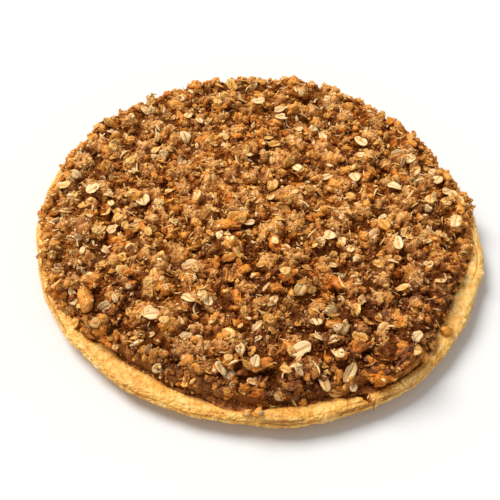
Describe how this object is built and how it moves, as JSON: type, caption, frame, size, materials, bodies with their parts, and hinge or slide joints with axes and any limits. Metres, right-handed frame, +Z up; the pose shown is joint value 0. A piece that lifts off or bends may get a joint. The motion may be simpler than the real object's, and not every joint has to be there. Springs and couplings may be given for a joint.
{
  "type": "apple tart",
  "caption": "Round apple tart: a shortcrust shell with a hand-pressed rim, a dark apple filling and a domed golden oat crumble that spills over the rim at the back.",
  "frame": {"origin": "centre of the flat underside, where the tart stands", "axes": "+Z up through the crumble; -Y towards the edge with the widest bare rim, which faces the viewer in the picture; +X to the viewer's right"},
  "size_m": [0.2409, 0.2397, 0.0296],
  "materials": {
    "pastry": "dry golden baked shortcrust, matt",
    "filling": "moist caramelised apple, glossy",
    "crumble": "dry toasted oat crumble, matt"
  },
  "bodies": {
    "root": {"pastry_shell": "pastry", "apple_filling": "filling", "oat_crumble": "crumble"}
  },
  "joints": []
}
